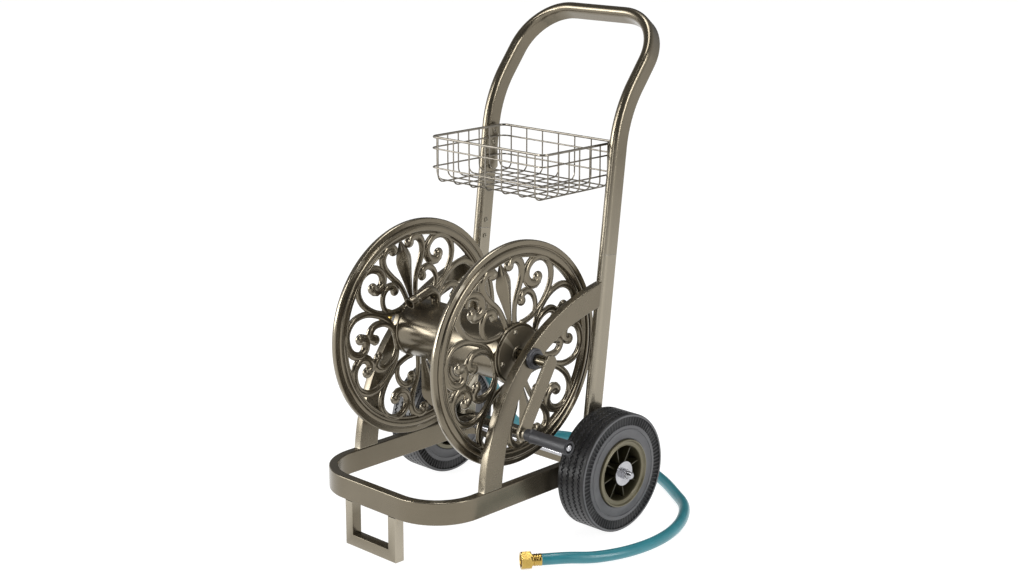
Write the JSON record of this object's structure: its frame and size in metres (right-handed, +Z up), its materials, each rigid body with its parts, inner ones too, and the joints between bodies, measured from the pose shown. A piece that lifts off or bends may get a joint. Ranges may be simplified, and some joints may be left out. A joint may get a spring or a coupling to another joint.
{
  "type": "garden hose reel cart",
  "caption": "Wheeled steel garden hose reel cart with cast scrollwork reel discs, a hand crank, a wire basket, a tall loop handle and a short leader hose.",
  "frame": {"origin": "on the ground, under the middle of the front foot's bottom face", "axes": "+Z up; +X to the crank's side, along the reel's and the wheels' axes; -Y to the front of the cart, +Y to the handle's side"},
  "size_m": [0.5775, 0.6363, 0.8496],
  "materials": {
    "bronze_paint": "antique bronze paint, satin, brushed lighter along raised edges",
    "dark_bronze_paint": "dark bronze paint, satin",
    "zinc": "bright zinc plate",
    "dull_zinc": "dull plated screw heads",
    "shaft_steel": "bronze-plated steel, polished",
    "brass": "bright turned brass",
    "tyre": "black moulded tyre with a grey bloom on its side walls",
    "grip_rubber": "charcoal moulded grip, satin",
    "dark_plastic": "dark moulded plastic, matt",
    "grey_wire": "bronze-grey plated wire",
    "teal_hose": "teal hose, glossy, with lengthwise sheen"
  },
  "bodies": {
    "cart": {"base_frame": "bronze_paint", "basket_bracket_left": "dark_bronze_paint", "basket_bracket_right": "dark_bronze_paint", "basket_screw_left_lower": "dull_zinc", "basket_screw_left_upper": "dull_zinc", "basket_screw_right_lower": "dull_zinc", "basket_screw_right_upper": "dull_zinc", "front_foot": "bronze_paint", "handle": "bronze_paint", "hose_ferrule": "brass", "hose_nut_inlet": "brass", "inlet_swivel": "brass", "leader_hose": "teal_hose", "lower_upright_left": "bronze_paint", "lower_upright_right": "bronze_paint", "shaft_bush_left": "dark_plastic", "shaft_bush_right": "dark_plastic", "side_arch_left": "bronze_paint", "side_arch_right": "bronze_paint", "splice_screw_left_lower": "dull_zinc", "splice_screw_left_upper": "dull_zinc", "splice_screw_right_lower": "dull_zinc", "splice_screw_right_upper": "dull_zinc", "splice_sleeve_left": "zinc", "splice_sleeve_right": "zinc", "wheel_axle": "zinc", "wheel_nut_left": "zinc", "wheel_nut_right": "zinc", "wheel_washer_left": "zinc", "wheel_washer_right": "zinc", "wire_basket": "grey_wire"},
    "reel": {"crank_arm": "bronze_paint", "crank_nut": "zinc", "drum": "bronze_paint", "grip_bolt": "zinc", "grip_collar": "zinc", "hub_plate_left": "dark_bronze_paint", "hub_plate_right": "dark_bronze_paint", "hub_screw_left_1": "dull_zinc", "hub_screw_left_2": "dull_zinc", "hub_screw_left_3": "dull_zinc", "hub_screw_left_4": "dull_zinc", "hub_screw_right_1": "dull_zinc", "hub_screw_right_2": "dull_zinc", "hub_screw_right_3": "dull_zinc", "hub_screw_right_4": "dull_zinc", "inlet_pipe": "brass", "outlet_gooseneck": "bronze_paint", "reel_disc_left": "bronze_paint", "reel_disc_right": "bronze_paint", "reel_shaft": "shaft_steel"},
    "grip": {"crank_grip": "grip_rubber"},
    "wheel_left": {"tyre_left": "tyre", "wheel_hub_left": "dark_bronze_paint"},
    "wheel_right": {"tyre_right": "tyre", "wheel_hub_right": "dark_bronze_paint"},
    "supply_nut": {"hose_swivel_nut": "brass"}
  },
  "joints": [
    {"name": "reel_spin", "type": "hinge", "parent": "cart", "child": "reel", "pos_m": [0, 0.2085, 0.317], "axis": [1, 0, 0], "continuous": true},
    {"name": "grip_spin", "type": "hinge", "parent": "reel", "child": "grip", "pos_m": [0.248, 0.1458, 0.21468], "axis": [1, 0, 0], "continuous": true},
    {"name": "wheel_left_spin", "type": "hinge", "parent": "cart", "child": "wheel_left", "pos_m": [-0.203, 0.35, 0.1015], "axis": [1, 0, 0], "continuous": true},
    {"name": "wheel_right_spin", "type": "hinge", "parent": "cart", "child": "wheel_right", "pos_m": [0.203, 0.35, 0.1015], "axis": [1, 0, 0], "continuous": true},
    {"name": "supply_nut_spin", "type": "hinge", "parent": "cart", "child": "supply_nut", "pos_m": [0.22621, 0.11878, 0.016], "axis": [-0.6033, -0.7975, 0], "continuous": true}
  ]
}
